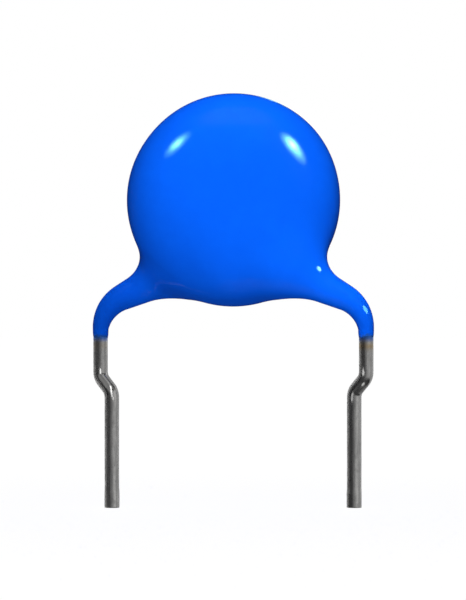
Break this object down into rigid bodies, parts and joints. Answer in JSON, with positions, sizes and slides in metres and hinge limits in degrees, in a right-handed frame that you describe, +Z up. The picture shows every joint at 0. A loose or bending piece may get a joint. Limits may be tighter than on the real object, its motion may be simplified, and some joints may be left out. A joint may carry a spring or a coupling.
{
  "type": "ceramic disc capacitor",
  "caption": "Round epoxy-dipped ceramic disc capacitor with a ceramic element between silver electrodes and two kinked, tinned wire leads for a circuit board.",
  "frame": {"origin": "midway between the two leads, on the top face of the board, where the kinks stop; the lead pair's mount", "axes": "+X from the left lead to the right lead, +Y through the thickness from the front to the back, +Z up out of the board, along the leads"},
  "size_m": [0.0116, 0.0038, 0.0172],
  "materials": {
    "blue_epoxy": "gloss, dipped and cured epoxy",
    "fired_ceramic": "matte, as sintered",
    "silver_film": "satin, fired silver film",
    "solder": "bright, flowed tin solder",
    "tinned_wire": "satin, tin plated steel wire"
  },
  "bodies": {
    "root": {"epoxy_coating": "blue_epoxy", "ceramic_disc": "fired_ceramic", "front_electrode": "silver_film", "rear_electrode": "silver_film", "front_solder": "solder", "rear_solder": "solder", "left_lead": "tinned_wire", "right_lead": "tinned_wire"}
  },
  "joints": []
}
